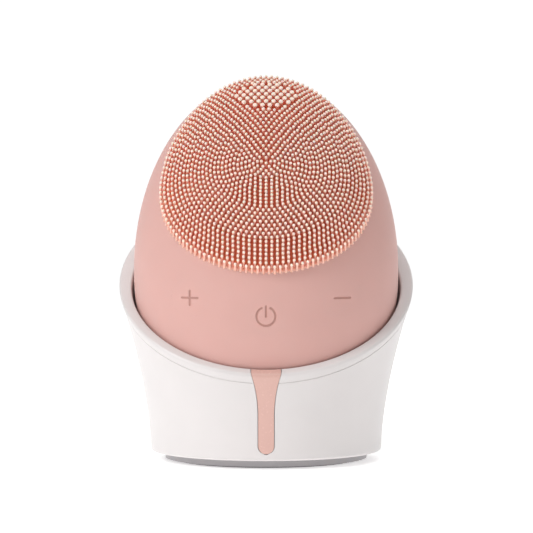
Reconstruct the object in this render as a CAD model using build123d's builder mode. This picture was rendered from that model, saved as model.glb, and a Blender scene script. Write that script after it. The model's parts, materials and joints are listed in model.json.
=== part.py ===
"""Egg-shaped silicone facial cleansing brush standing in a tilted-rim charging cradle.

Millimetres, +Z up. The origin is the centre of the cradle's underside, the bristles face -Y.
The handset's horizontal sections are ellipses; every shell, sleeve and cup that follows
its shape is made from the same egg, grown or shrunk by a named thickness.
"""
import os
from math import cos, radians, sin, sqrt

from build123d import *

# Handset skin
EGG_HALF_WIDTH = 36.0        # half width at the widest level
EGG_BOTTOM = 13.0            # level of the lower pole
EGG_TOP = 103.6              # level of the crest
EGG_WIDEST = 52.0            # level of the greatest width
EGG_FRONT = 31.5             # how far the front reaches towards -Y
EGG_FRONT_LEVEL = 47.0       # level of the foremost point
EGG_REAR = 30.5              # how far the back reaches towards +Y
EGG_REAR_LEVEL = 56.0        # level of the rearmost point
CREST_Y = 12.0               # the crest leans back by this much
LOWER_POWER = 2.4            # superellipse power of the lower sides and back
CHIN_POWER = 3.0             # power of the fuller lower front
SLOPE_POWER = 1.8            # power of the flatter sloping face
POLE_CUT = 0.35              # flat left at the lower pole
CREST_CUT = 0.15             # flat left at the crest
LOWER_SECTIONS = 9
UPPER_SECTIONS = 14

# Handset walls
SLEEVE_WALL = 1.8            # silicone
SHELL_WALL = 1.6             # rigid casing under the silicone
FIT = 0.1                    # clearance between pieces that seat in each other
GASKET_WIDTH = 0.7
GASKET_DEPTH = 1.2

# Bristle pad
DRAW_ANGLE = 40.0            # the bristles point forwards and up by this angle
BRISTLE_LENGTH = 3.5
PAD_HALF_WIDTH = 28.9
PAD_LEVEL = 47.0             # distance up the slope to the pad's widest line
PAD_UP = 36.0                # from the widest line to the pad's upper end
PAD_DOWN = 28.0              # from the widest line to the pad's lower end
PAD_ROOT = 0.9               # depth of the pad's root in the sleeve

# Keys
KEY_RADIUS = 5.0
KEY_TRAVEL = 0.4
KEY_GAP = 0.3                # free ring round each key
KEY_SPREAD = 20.3            # plus and minus keys, each side of the middle
POWER_LEVEL = 41.0
PLUS_MINUS_LEVEL = 45.6
PEG_RADIUS = 2.0
SWITCH_SIDE = 6.0
SWITCH_DEPTH = 3.0
STEM_RADIUS = 1.5
STEM_OUT = 0.8               # how far the stem stands out of the switch
STEM_IN = 0.8                # how far the stem reaches into the switch
STEM_CLEARANCE = 0.08
SWITCH_TO_CASING = 0.6

# Circuit board and frame of the handset
BOARD_THICKNESS = 1.2
BOARD_BOTTOM = 32.0
BOARD_TOP = 56.0
BOARD_EDGE = 1.2             # board beyond the outer switches
BOARD_SCREW_X = 10.5
BOARD_SCREW_LEVEL = 51.5
FRAME_FACE = 3.2             # y of the frame's front face
FRAME_THICKNESS = 1.6
FRAME_HALF_WIDTH = 15.0
FRAME_BOTTOM = 25.0
FRAME_BELOW_CREST = 15.0
FRAME_SCREW_X = 12.0
FRAME_SCREW_INSET = 4.0
RING_WALL = 1.2
WALL_CLEARANCE = 0.6         # inner pieces stay this far from the casing

# Motor and battery
MOTOR_RADIUS = 6.0
MOTOR_LENGTH = 18.0
BOOT_WALL = 1.0
SHAFT_RADIUS = 1.0
SHAFT_CLEARANCE = 0.05
SHAFT_SEAT = 4.0
WEIGHT_RADIUS = 5.0
WEIGHT_HUB = 2.2
WEIGHT_THICKNESS = 6.0
WEIGHT_GAP = 1.0
WEIGHT_BELOW_CREST = 20.6
MOTOR_RING_HEIGHT = 10.0
BATTERY_RADIUS = 7.0
BATTERY_LENGTH = 48.0
BATTERY_BOTTOM = 28.0
CAP_RADIUS = 2.6
CAP_HEIGHT = 1.0
BATTERY_RING_HEIGHT = 6.0

# Coils: the receiver in the handset and the transmitter in the cradle
COIL_RADIUS = 12.0
COIL_HOLE = 4.5
COIL_THICKNESS = 1.0
FERRITE_RADIUS = 13.0
FERRITE_THICKNESS = 0.8

# Screws
SCREW_RADIUS = 1.25
SCREW_HEAD_RADIUS = 2.2
SCREW_HEAD_HEIGHT = 1.5
SCREW_CLEARANCE = 0.2
BOSS_WALL = 1.5
SHELL_SCREW_X = 19.5
SHELL_SCREW_LOW = 26.0
SHELL_SCREW_BELOW_CREST = 24.0
SHELL_SCREW_SEAT = 8.0       # y of the screw head's seat
SHELL_SCREW_GRIP = 8.0       # thread in the front casing

# Cradle
SEAT_GAP = 0.3               # between the handset and the bottom of the cup
RIM_GAP = 0.9                # between the handset and the cup at the rim
CUP_WALL = 1.2
RIM_WIDTH = 3.4              # from the cup's inner edge to the cradle's outer edge
RIM_TILT = 34.0
RIM_LEVEL = 47.0             # level of the rim above the origin
CHIN_COVER = 0.4             # the rim's front beyond the handset's front
REAR_COVER = 1.0             # extra depth behind the cup
COLLAR_HEIGHT = 2.0
BASE_RADIUS = 31.4
BASE_LEVEL = 2.4             # lower edge of the cradle's shell
CRADLE_WALL = 2.0
FLARE = 1.6                  # power of the flare from base to rim, at front and sides
CRADLE_SECTIONS = 6
EDGE_ROUND = 0.8
FOOT_RADIUS = 27.5
BASE_THICKNESS = 1.8
PAD_RADIUS = 25.0
PAD_THICKNESS = 1.2
PAD_PROUD = 0.5

# Inlay strip
INLAY_HALF_WIDTH = 2.1
INLAY_MID_HALF_WIDTH = 3.25
INLAY_TOP_HALF_WIDTH = 4.4
INLAY_DEPTH = 0.9
INLAY_END = 4.3              # level of the round lower end
INLAY_FLARE_LEVEL = 15.0
INLAY_MID_LEVEL = 23.0
INLAY_TOP_LEVEL = 27.5

# Cradle's inner pieces
BASE_SCREW_X = 17.0
BASE_SCREW_Y = 14.0
SCREW_GRIP = 5.0
BALLAST_RADIUS = 24.0
BALLAST_THICKNESS = 1.2
STAND_BOARD_HALF_WIDTH = 12.0
STAND_BOARD_FRONT = 10.0
STAND_BOARD_LEVEL = 6.2
POST_X = 9.0
POST_RADIUS = 2.0
STAKE_RADIUS = 0.9
SOCKET_WIDTH = 9.0
SOCKET_HEIGHT = 3.3
SOCKET_LENGTH = 7.5
SOCKET_WALL = 0.4
SOCKET_INSET = 0.6           # mouth behind the cradle's surface
TONGUE_THICKNESS = 0.7


def oval(height, power):
    """Share of the full radius left at a height between 0 and 1."""
    return max(0.0, 1 - height**power) ** (1 / power)


def half_width(z, inset=0.0):
    """Half width of the egg at level z."""
    full = EGG_HALF_WIDTH - inset
    if z < EGG_WIDEST:
        return full * oval((EGG_WIDEST - z) / (EGG_WIDEST - EGG_BOTTOM - inset), LOWER_POWER)
    return full * oval((z - EGG_WIDEST) / (EGG_TOP - inset - EGG_WIDEST), 2)


def front(z, inset=0.0):
    """y of the egg's front at level z."""
    full = EGG_FRONT - inset
    if z < EGG_FRONT_LEVEL:
        height = (EGG_FRONT_LEVEL - z) / (EGG_FRONT_LEVEL - EGG_BOTTOM - inset)
        return -full * oval(height, CHIN_POWER)
    height = (z - EGG_FRONT_LEVEL) / (EGG_TOP - inset - EGG_FRONT_LEVEL)
    return CREST_Y - (full + CREST_Y) * oval(height, SLOPE_POWER)


def rear(z, inset=0.0):
    """y of the egg's back at level z."""
    full = EGG_REAR - inset
    if z < EGG_REAR_LEVEL:
        return full * oval((EGG_REAR_LEVEL - z) / (EGG_REAR_LEVEL - EGG_BOTTOM - inset), LOWER_POWER)
    return CREST_Y + (full - CREST_Y) * oval((z - EGG_REAR_LEVEL) / (EGG_TOP - inset - EGG_REAR_LEVEL), 2)


def front_at(x, z, inset=0.0):
    """y of the egg's front surface at x and z."""
    middle = (front(z, inset) + rear(z, inset)) / 2
    depth = (rear(z, inset) - front(z, inset)) / 2
    return middle - depth * sqrt(1 - (x / half_width(z, inset)) ** 2)


def oval_face(plane, across, near, far):
    """Elliptical face on a plane, half width across, from near to far in its local y."""
    with BuildSketch(plane) as section:
        with BuildLine():
            centre = (0, (near + far) / 2)
            EllipticalCenterArc(centre, across, (far - near) / 2, start_angle=0, arc_size=180)
            EllipticalCenterArc(centre, across, (far - near) / 2, start_angle=180, arc_size=180)
        make_face()
    return section.sketch


def egg(inset=0.0):
    """The handset's egg, shrunk by inset on every side."""
    low = EGG_BOTTOM + inset + POLE_CUT
    high = EGG_TOP - inset - CREST_CUT
    rise = EGG_WIDEST - low
    levels = [low + rise * (i / LOWER_SECTIONS) ** 1.6 for i in range(LOWER_SECTIONS)]
    rise = high - EGG_WIDEST
    levels += [EGG_WIDEST + rise * sin(radians(90 * i / UPPER_SECTIONS)) for i in range(UPPER_SECTIONS + 1)]
    with BuildPart() as body:
        sections = [
            oval_face(Plane.XY.offset(z), half_width(z, inset), front(z, inset), rear(z, inset))
            for z in levels
        ]
        loft(sections)
    return body.part


def bowl(grow):
    """Room for the handset in the cup, grown by grow: straight above the widest level."""
    floor = EGG_BOTTOM + POLE_CUT
    low = floor - SEAT_GAP - grow
    with BuildPart() as body:
        sections = []
        for i in range(LOWER_SECTIONS + 1):
            rise = (i / LOWER_SECTIONS) ** 1.6
            level = floor + rise * (EGG_WIDEST - floor)
            gap = grow + SEAT_GAP + (RIM_GAP - SEAT_GAP) * rise**2
            plane = Plane.XY.offset(low + rise * (EGG_WIDEST - low))
            sections.append(oval_face(plane, half_width(level) + gap, front(level) - gap, rear(level) + gap))
        loft(sections)
        extrude(body.faces().sort_by(Axis.Z)[-1], amount=EGG_TOP - EGG_WIDEST)
    return body.part


# Rim of the cradle: a tilted plane, with its front and back edges
RIM_HALF_WIDTH = EGG_HALF_WIDTH + RIM_GAP + RIM_WIDTH
RIM_FRONT = EGG_FRONT + CHIN_COVER
RIM_REAR = EGG_REAR + RIM_GAP + RIM_WIDTH + REAR_COVER


def tilted(share, drop=0.0):
    """Plane of a cradle section, from the level base (share 0) to the tilted rim (share 1)."""
    tilt = radians(RIM_TILT * share)
    normal = Vector(0, -sin(tilt), cos(tilt))
    level = BASE_LEVEL + (RIM_LEVEL - BASE_LEVEL) * share
    return Plane(origin=Vector(0, 0, level) - normal * drop, x_dir=(1, 0, 0), z_dir=normal)


def cradle(inset=0.0, drop=0.0):
    """The cradle's outer body, shrunk by inset, its rim lowered by drop."""
    with BuildPart() as body:
        sections = []
        for i in range(CRADLE_SECTIONS + 1):
            share = i / CRADLE_SECTIONS
            flare = share**FLARE
            stretch = cos(radians(RIM_TILT * share))
            across = BASE_RADIUS + (RIM_HALF_WIDTH - BASE_RADIUS) * flare - inset
            near = -(BASE_RADIUS + (RIM_FRONT - BASE_RADIUS) * flare) / stretch + inset
            far = (BASE_RADIUS + (RIM_REAR - BASE_RADIUS) * share) / stretch - inset
            plane = tilted(share, drop * share)
            sections.append(oval_face(plane, across, near, far))
        loft(sections)
    return body.part


def along_y(x, z, radius, start, end):
    """Round bar along Y."""
    with BuildPart() as bar:
        with BuildSketch(Plane(origin=(x, start, z), x_dir=(1, 0, 0), z_dir=(0, 1, 0))):
            Circle(radius)
        extrude(amount=end - start)
    return bar.part


def along_z(x, y, radius, start, end):
    """Round bar along Z."""
    with BuildPart() as bar:
        with BuildSketch(Plane.XY.offset(start)):
            with Locations((x, y)):
                Circle(radius)
        extrude(amount=end - start)
    return bar.part


def block(x, y, z):
    """Box between two corners, each axis given as a pair."""
    with BuildPart() as box:
        with Locations(((x[0] + x[1]) / 2, (y[0] + y[1]) / 2, (z[0] + z[1]) / 2)):
            Box(x[1] - x[0], y[1] - y[0], z[1] - z[0])
    return box.part


def trimmed(bar, limit):
    """Part of a bar that lies inside a limiting body."""
    with BuildPart() as piece:
        add(bar)
        add(limit, mode=Mode.INTERSECT)
    return piece.part


def finish(builder, label):
    """Label a finished piece and write it."""
    builder.part.label = label
    export_step(builder.part, f"parts/{label}.step")


os.makedirs("parts", exist_ok=True)

SHELL_OUT = SLEEVE_WALL + FIT
SHELL_IN = SHELL_OUT + SHELL_WALL
ROOM = SHELL_IN + WALL_CLEARANCE
REACH = 3 * EGG_HALF_WIDTH
SIDES = (-1, 1)

skin_egg = egg()
casing_egg = egg(SHELL_OUT)
hollow_egg = egg(SHELL_IN)
room_egg = egg(ROOM)

# ---------------------------------------------------------------- handset skin
draw = Vector(0, -cos(radians(DRAW_ANGLE)), sin(radians(DRAW_ANGLE)))
slope = Plane(origin=draw * EGG_HALF_WIDTH, x_dir=(1, 0, 0), z_dir=draw)

with BuildPart() as pad_prism:
    with BuildSketch(slope):
        with BuildLine():
            EllipticalCenterArc((0, PAD_LEVEL), PAD_HALF_WIDTH, PAD_UP, start_angle=0, arc_size=180)
            EllipticalCenterArc((0, PAD_LEVEL), PAD_HALF_WIDTH, PAD_DOWN, start_angle=180, arc_size=180)
        make_face()
    extrude(amount=REACH)

with BuildPart() as bristle_pad:
    add(skin_egg.moved(Location(draw * BRISTLE_LENGTH)))
    add(pad_prism.part, mode=Mode.INTERSECT)
    add(egg(PAD_ROOT), mode=Mode.SUBTRACT)
finish(bristle_pad, "bristle_pad")

KEYS = {
    "power": (0.0, POWER_LEVEL),
    "plus": (-KEY_SPREAD, PLUS_MINUS_LEVEL),
    "minus": (KEY_SPREAD, PLUS_MINUS_LEVEL),
}

with BuildPart() as silicone_sleeve:
    add(skin_egg)
    add(egg(SLEEVE_WALL), mode=Mode.SUBTRACT)
    add(bristle_pad.part, mode=Mode.SUBTRACT)
    for x, z in KEYS.values():
        add(along_y(x, z, KEY_RADIUS + KEY_GAP, -REACH, 0), mode=Mode.SUBTRACT)
finish(silicone_sleeve, "silicone_sleeve")

# ------------------------------------------------------- switches, keys and board
outer_switch_edge = KEY_SPREAD + SWITCH_SIDE / 2
switch_level = PLUS_MINUS_LEVEL - SWITCH_SIDE / 2
SWITCH_FRONT = front_at(outer_switch_edge, switch_level, SHELL_IN) + SWITCH_TO_CASING
BOARD_FRONT = SWITCH_FRONT + SWITCH_DEPTH
BOARD_BACK = BOARD_FRONT + BOARD_THICKNESS
STEM_TIP = SWITCH_FRONT - STEM_OUT

with BuildPart() as key_layer:
    add(skin_egg)
    add(egg(SLEEVE_WALL), mode=Mode.SUBTRACT)
    add(block((-REACH, REACH), (0, REACH), (-REACH, REACH)), mode=Mode.SUBTRACT)

for name, (x, z) in KEYS.items():
    with BuildPart() as key:
        add(along_y(x, z, KEY_RADIUS, -REACH, 0))
        add(key_layer.part, mode=Mode.INTERSECT)
        root = front_at(abs(x) - PEG_RADIUS if x else 0, z, SLEEVE_WALL / 2)
        add(along_y(x, z, PEG_RADIUS, root, STEM_TIP))
    finish(key, f"{name}_key")

    with BuildPart() as switch:
        half = SWITCH_SIDE / 2
        add(block((x - half, x + half), (SWITCH_FRONT, BOARD_FRONT), (z - half, z + half)))
        well_end = SWITCH_FRONT + STEM_IN + KEY_TRAVEL + FIT
        well = along_y(x, z, STEM_RADIUS + STEM_CLEARANCE, SWITCH_FRONT, well_end)
        add(well, mode=Mode.SUBTRACT)
    finish(switch, f"{name}_switch")

    with BuildPart() as stem:
        add(along_y(x, z, STEM_RADIUS, STEM_TIP, SWITCH_FRONT + STEM_IN))
    finish(stem, f"{name}_switch_stem")

board_half = outer_switch_edge + BOARD_EDGE
with BuildPart() as main_circuit_board:
    add(block((-board_half, board_half), (BOARD_FRONT, BOARD_BACK), (BOARD_BOTTOM, BOARD_TOP)))
    add(room_egg, mode=Mode.INTERSECT)
    for side in SIDES:
        hole = SCREW_RADIUS + SCREW_CLEARANCE
        bar = along_y(side * BOARD_SCREW_X, BOARD_SCREW_LEVEL, hole, BOARD_FRONT, BOARD_BACK)
        add(bar, mode=Mode.SUBTRACT)
finish(main_circuit_board, "main_circuit_board")

with BuildPart() as board_screws:
    for side in SIDES:
        x = side * BOARD_SCREW_X
        head_end = BOARD_BACK + SCREW_HEAD_HEIGHT
        add(along_y(x, BOARD_SCREW_LEVEL, SCREW_HEAD_RADIUS, BOARD_BACK, head_end))
        add(along_y(x, BOARD_SCREW_LEVEL, SCREW_RADIUS, BOARD_FRONT - SWITCH_DEPTH, BOARD_BACK))
finish(board_screws, "board_screws")

# ------------------------------------------------------------------ rigid casing
BOSS_RADIUS = SCREW_HEAD_RADIUS + SCREW_CLEARANCE + BOSS_WALL
FRONT_BOSS_RADIUS = SCREW_RADIUS + BOSS_WALL
SHELL_SCREW_HIGH = EGG_TOP - SHELL_SCREW_BELOW_CREST
SHELL_SCREWS = [(side * SHELL_SCREW_X, z) for side in SIDES for z in (SHELL_SCREW_LOW, SHELL_SCREW_HIGH)]
FRAME_BACK = FRAME_FACE + FRAME_THICKNESS
FRAME_TOP = EGG_TOP - FRAME_BELOW_CREST
FRAME_SCREWS = [
    (side * FRAME_SCREW_X, z)
    for side in SIDES
    for z in (FRAME_BOTTOM + FRAME_SCREW_INSET, FRAME_TOP - FRAME_SCREW_INSET)
]
FRAME_SCREW_END = FRAME_BACK + SCREW_GRIP

with BuildPart() as shell_gasket:
    add(egg((SHELL_OUT + SHELL_IN - GASKET_WIDTH) / 2))
    add(egg((SHELL_OUT + SHELL_IN + GASKET_WIDTH) / 2), mode=Mode.SUBTRACT)
    slab = block((-REACH, REACH), (-GASKET_DEPTH / 2, GASKET_DEPTH / 2), (-REACH, REACH + EGG_TOP))
    add(slab, mode=Mode.INTERSECT)
finish(shell_gasket, "shell_gasket")

with BuildPart() as front_shell:
    add(casing_egg)
    add(hollow_egg, mode=Mode.SUBTRACT)
    for x, z in SHELL_SCREWS:
        add(trimmed(along_y(x, z, FRONT_BOSS_RADIUS, -REACH, 0), casing_egg))
    for side in SIDES:
        post = along_y(side * BOARD_SCREW_X, BOARD_SCREW_LEVEL, FRONT_BOSS_RADIUS, -REACH, BOARD_FRONT)
        add(trimmed(post, casing_egg))
        hole_start = BOARD_FRONT - SWITCH_DEPTH - FIT
        bar = along_y(side * BOARD_SCREW_X, BOARD_SCREW_LEVEL, SCREW_RADIUS, hole_start, BOARD_FRONT)
        add(bar, mode=Mode.SUBTRACT)
    for x, z in SHELL_SCREWS:
        add(along_y(x, z, SCREW_RADIUS, -SHELL_SCREW_GRIP - FIT, 0), mode=Mode.SUBTRACT)
    for x, z in KEYS.values():
        add(along_y(x, z, KEY_RADIUS + KEY_GAP, -REACH, STEM_TIP), mode=Mode.SUBTRACT)
    add(block((-REACH, REACH), (0, REACH), (-REACH, REACH + EGG_TOP)), mode=Mode.SUBTRACT)
    add(shell_gasket.part, mode=Mode.SUBTRACT)
finish(front_shell, "front_shell")

with BuildPart() as rear_shell:
    add(casing_egg)
    add(hollow_egg, mode=Mode.SUBTRACT)
    for x, z in SHELL_SCREWS:
        add(trimmed(along_y(x, z, BOSS_RADIUS, 0, REACH), casing_egg))
    for x, z in FRAME_SCREWS:
        add(trimmed(along_y(x, z, FRONT_BOSS_RADIUS, FRAME_BACK, REACH), casing_egg))
        add(along_y(x, z, SCREW_RADIUS, FRAME_BACK, FRAME_SCREW_END + FIT), mode=Mode.SUBTRACT)
    for x, z in SHELL_SCREWS:
        add(along_y(x, z, SCREW_RADIUS + SCREW_CLEARANCE, 0, SHELL_SCREW_SEAT), mode=Mode.SUBTRACT)
        counterbore = along_y(x, z, SCREW_HEAD_RADIUS + SCREW_CLEARANCE, SHELL_SCREW_SEAT, REACH)
        add(counterbore, mode=Mode.SUBTRACT)
    add(block((-REACH, REACH), (-REACH, 0), (-REACH, REACH + EGG_TOP)), mode=Mode.SUBTRACT)
    add(shell_gasket.part, mode=Mode.SUBTRACT)
finish(rear_shell, "rear_shell")

with BuildPart() as shell_screws:
    for x, z in SHELL_SCREWS:
        head_end = SHELL_SCREW_SEAT + SCREW_HEAD_HEIGHT
        add(along_y(x, z, SCREW_HEAD_RADIUS, SHELL_SCREW_SEAT, head_end))
        add(along_y(x, z, SCREW_RADIUS, -SHELL_SCREW_GRIP, SHELL_SCREW_SEAT))
finish(shell_screws, "shell_screws")

# ---------------------------------------------------------- frame, motor, battery
BOOT_RADIUS = MOTOR_RADIUS + BOOT_WALL
MOTOR_Y = FRAME_FACE - BOOT_RADIUS - FIT
WEIGHT_TOP = EGG_TOP - WEIGHT_BELOW_CREST
WEIGHT_BOTTOM = WEIGHT_TOP - WEIGHT_THICKNESS
MOTOR_TOP = WEIGHT_BOTTOM - WEIGHT_GAP
MOTOR_BOTTOM = MOTOR_TOP - MOTOR_LENGTH
MOTOR_RING_BOTTOM = (MOTOR_TOP + MOTOR_BOTTOM - MOTOR_RING_HEIGHT) / 2
MOTOR_RING_TOP = MOTOR_RING_BOTTOM + MOTOR_RING_HEIGHT
BATTERY_Y = FRAME_BACK + BATTERY_RADIUS + FIT
BATTERY_TOP = BATTERY_BOTTOM + BATTERY_LENGTH
BATTERY_RINGS = (BATTERY_BOTTOM + BATTERY_RING_HEIGHT, BATTERY_TOP - 2 * BATTERY_RING_HEIGHT)

with BuildPart() as inner_frame:
    add(block((-FRAME_HALF_WIDTH, FRAME_HALF_WIDTH), (FRAME_FACE, FRAME_BACK), (FRAME_BOTTOM, FRAME_TOP)))
    add(along_z(0, MOTOR_Y, BOOT_RADIUS + FIT + RING_WALL, MOTOR_RING_BOTTOM, MOTOR_RING_TOP))
    for low in BATTERY_RINGS:
        add(along_z(0, BATTERY_Y, BATTERY_RADIUS + FIT + RING_WALL, low, low + BATTERY_RING_HEIGHT))
    add(room_egg, mode=Mode.INTERSECT)
    add(along_z(0, MOTOR_Y, BOOT_RADIUS + FIT, MOTOR_BOTTOM, MOTOR_TOP), mode=Mode.SUBTRACT)
    add(along_z(0, BATTERY_Y, BATTERY_RADIUS + FIT, BATTERY_BOTTOM, BATTERY_TOP), mode=Mode.SUBTRACT)
    for x, z in FRAME_SCREWS:
        add(along_y(x, z, SCREW_RADIUS + SCREW_CLEARANCE, FRAME_FACE, FRAME_BACK), mode=Mode.SUBTRACT)
finish(inner_frame, "inner_frame")

with BuildPart() as frame_screws:
    for x, z in FRAME_SCREWS:
        add(along_y(x, z, SCREW_HEAD_RADIUS, FRAME_FACE - SCREW_HEAD_HEIGHT, FRAME_FACE))
        add(along_y(x, z, SCREW_RADIUS, FRAME_FACE, FRAME_SCREW_END))
finish(frame_screws, "frame_screws")

with BuildPart() as motor_can:
    add(along_z(0, MOTOR_Y, MOTOR_RADIUS, MOTOR_BOTTOM, MOTOR_TOP))
    bore = along_z(0, MOTOR_Y, SHAFT_RADIUS + SHAFT_CLEARANCE, MOTOR_TOP - SHAFT_SEAT - FIT, MOTOR_TOP)
    add(bore, mode=Mode.SUBTRACT)
finish(motor_can, "motor_can")

with BuildPart() as motor_boot:
    add(along_z(0, MOTOR_Y, BOOT_RADIUS, MOTOR_RING_BOTTOM - BOOT_WALL, MOTOR_RING_TOP + BOOT_WALL))
    add(along_z(0, MOTOR_Y, MOTOR_RADIUS, MOTOR_BOTTOM, MOTOR_TOP), mode=Mode.SUBTRACT)
finish(motor_boot, "motor_boot")

with BuildPart() as motor_shaft:
    add(along_z(0, MOTOR_Y, SHAFT_RADIUS, MOTOR_TOP - SHAFT_SEAT, WEIGHT_TOP + FIT))
finish(motor_shaft, "motor_shaft")

with BuildPart() as eccentric_weight:
    add(along_z(0, MOTOR_Y, WEIGHT_RADIUS, WEIGHT_BOTTOM, WEIGHT_TOP))
    upper = (MOTOR_Y, MOTOR_Y + WEIGHT_RADIUS)
    add(block((-WEIGHT_RADIUS, WEIGHT_RADIUS), upper, (WEIGHT_BOTTOM, WEIGHT_TOP)), mode=Mode.SUBTRACT)
    add(along_z(0, MOTOR_Y, WEIGHT_HUB, WEIGHT_BOTTOM, WEIGHT_TOP))
    add(along_z(0, MOTOR_Y, SHAFT_RADIUS, WEIGHT_BOTTOM, WEIGHT_TOP), mode=Mode.SUBTRACT)
finish(eccentric_weight, "eccentric_weight")

with BuildPart() as battery:
    add(along_z(0, BATTERY_Y, BATTERY_RADIUS, BATTERY_BOTTOM, BATTERY_TOP - CAP_HEIGHT))
    add(along_z(0, BATTERY_Y, CAP_RADIUS, BATTERY_TOP - CAP_HEIGHT, BATTERY_TOP))
finish(battery, "battery")

# ----------------------------------------------------------------- receiver coil
depth = EGG_REAR_LEVEL - EGG_BOTTOM - SHELL_IN
RECEIVER_BOTTOM = EGG_REAR_LEVEL - depth * oval(FERRITE_RADIUS / (EGG_REAR - SHELL_IN), LOWER_POWER) + FIT

with BuildPart() as receiver_coil:
    add(along_z(0, 0, COIL_RADIUS, RECEIVER_BOTTOM, RECEIVER_BOTTOM + COIL_THICKNESS))
    hole = along_z(0, 0, COIL_HOLE, RECEIVER_BOTTOM, RECEIVER_BOTTOM + COIL_THICKNESS)
    add(hole, mode=Mode.SUBTRACT)
finish(receiver_coil, "receiver_coil")

with BuildPart() as receiver_ferrite:
    low = RECEIVER_BOTTOM + COIL_THICKNESS
    add(along_z(0, 0, FERRITE_RADIUS, low, low + FERRITE_THICKNESS))
finish(receiver_ferrite, "receiver_ferrite")

# ----------------------------------------------------------------------- cradle
cradle_body = cradle()
cup_room = bowl(0)
cup_outside = bowl(CUP_WALL)
cup_seat = bowl(CUP_WALL + FIT)
BASE_TOP = BASE_LEVEL + BASE_THICKNESS
BASE_SCREWS = [(sx * BASE_SCREW_X, sy * BASE_SCREW_Y) for sx in SIDES for sy in SIDES]

with BuildPart() as below_collar:
    with BuildSketch(tilted(1, COLLAR_HEIGHT)):
        Rectangle(2 * REACH, 2 * REACH)
    extrude(amount=-2 * REACH)

with BuildPart() as inlay_layer:
    add(cradle_body)
    add(cradle(INLAY_DEPTH, INLAY_DEPTH), mode=Mode.SUBTRACT)
    add(cup_room, mode=Mode.SUBTRACT)


def inlay_prism(grow):
    """Straight strip with a round lower end that flares towards the rim."""
    narrow = INLAY_HALF_WIDTH + grow
    end = INLAY_END + INLAY_HALF_WIDTH
    with BuildPart() as prism:
        with BuildSketch(Plane(origin=(0, 0, 0), x_dir=(1, 0, 0), z_dir=(0, -1, 0))):
            with BuildLine():
                top = INLAY_TOP_LEVEL + CUP_WALL
                middle = INLAY_MID_HALF_WIDTH + grow
                wide = INLAY_TOP_HALF_WIDTH + grow
                right = Spline(
                    (narrow, INLAY_FLARE_LEVEL),
                    (middle, INLAY_MID_LEVEL),
                    (wide, top),
                    tangents=((0, 1), (0.6, 1)),
                )
                Line((wide, top), (-wide, top))
                mirror(right, about=Plane.YZ)
                Line((-narrow, INLAY_FLARE_LEVEL), (-narrow, end))
                ThreePointArc((-narrow, end), (0, end - narrow), (narrow, end))
                Line((narrow, end), (narrow, INLAY_FLARE_LEVEL))
            make_face()
        extrude(amount=REACH)
    return prism.part


with BuildPart() as inlay_strip:
    add(inlay_prism(0))
    add(inlay_layer.part, mode=Mode.INTERSECT)
finish(inlay_strip, "inlay_strip")

with BuildPart() as inlay_recess:
    add(inlay_prism(FIT))
    add(inlay_layer.part, mode=Mode.INTERSECT)

with BuildPart() as outer_shell:
    add(cradle_body)
    base_edge = outer_shell.edges().group_by(Axis.Z)[0]
    fillet(base_edge, EDGE_ROUND)
    add(below_collar.part, mode=Mode.INTERSECT)
    add(cradle(CRADLE_WALL), mode=Mode.SUBTRACT)
    add(cup_seat, mode=Mode.SUBTRACT)
    add(inlay_recess.part, mode=Mode.SUBTRACT)
    socket_level = STAND_BOARD_LEVEL + BOARD_THICKNESS + SOCKET_HEIGHT / 2
    with BuildSketch(Plane(origin=(0, 0, socket_level), x_dir=(-1, 0, 0), z_dir=(0, 1, 0))):
        SlotOverall(SOCKET_WIDTH + 2 * FIT, SOCKET_HEIGHT + 2 * FIT)
    extrude(amount=REACH, mode=Mode.SUBTRACT)
finish(outer_shell, "outer_shell")

with BuildPart() as cup_wall:
    add(cup_outside)
    for x, y in BASE_SCREWS:
        add(along_z(x, y, FRONT_BOSS_RADIUS, BASE_TOP, EGG_WIDEST / 2))
    add(below_collar.part, mode=Mode.INTERSECT)

with BuildPart() as inner_cup:
    add(cradle_body)
    add(below_collar.part, mode=Mode.SUBTRACT)
    add(cup_wall.part)
    add(cup_room, mode=Mode.SUBTRACT)
    add(inlay_recess.part, mode=Mode.SUBTRACT)
    for x, y in BASE_SCREWS:
        add(along_z(x, y, SCREW_RADIUS, BASE_TOP, BASE_TOP + SCREW_GRIP + FIT), mode=Mode.SUBTRACT)
finish(inner_cup, "inner_cup")

with BuildPart() as base_plate:
    add(along_z(0, 0, BASE_RADIUS - CRADLE_WALL - FIT, BASE_LEVEL, BASE_TOP))
    add(along_z(0, 0, FOOT_RADIUS, PAD_PROUD, BASE_LEVEL))
    for side in SIDES:
        add(along_z(side * POST_X, 0, POST_RADIUS, BASE_TOP, STAND_BOARD_LEVEL))
        stake_end = STAND_BOARD_LEVEL + 2 * BOARD_THICKNESS
        add(along_z(side * POST_X, 0, STAKE_RADIUS, STAND_BOARD_LEVEL, stake_end))
    add(along_z(0, 0, PAD_RADIUS + FIT, 0, PAD_THICKNESS), mode=Mode.SUBTRACT)
    for x, y in BASE_SCREWS:
        head = SCREW_HEAD_RADIUS + SCREW_CLEARANCE
        add(along_z(x, y, SCREW_RADIUS + SCREW_CLEARANCE, PAD_THICKNESS, BASE_TOP), mode=Mode.SUBTRACT)
        add(along_z(x, y, head, PAD_THICKNESS, PAD_THICKNESS + SCREW_HEAD_HEIGHT), mode=Mode.SUBTRACT)
finish(base_plate, "base_plate")

with BuildPart() as anti_slip_pad:
    add(along_z(0, 0, PAD_RADIUS, 0, PAD_THICKNESS))
finish(anti_slip_pad, "anti_slip_pad")

with BuildPart() as base_screws:
    for x, y in BASE_SCREWS:
        seat = PAD_THICKNESS + SCREW_HEAD_HEIGHT
        add(along_z(x, y, SCREW_HEAD_RADIUS, PAD_THICKNESS, seat))
        add(along_z(x, y, SCREW_RADIUS, seat, BASE_TOP + SCREW_GRIP))
finish(base_screws, "base_screws")

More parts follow.
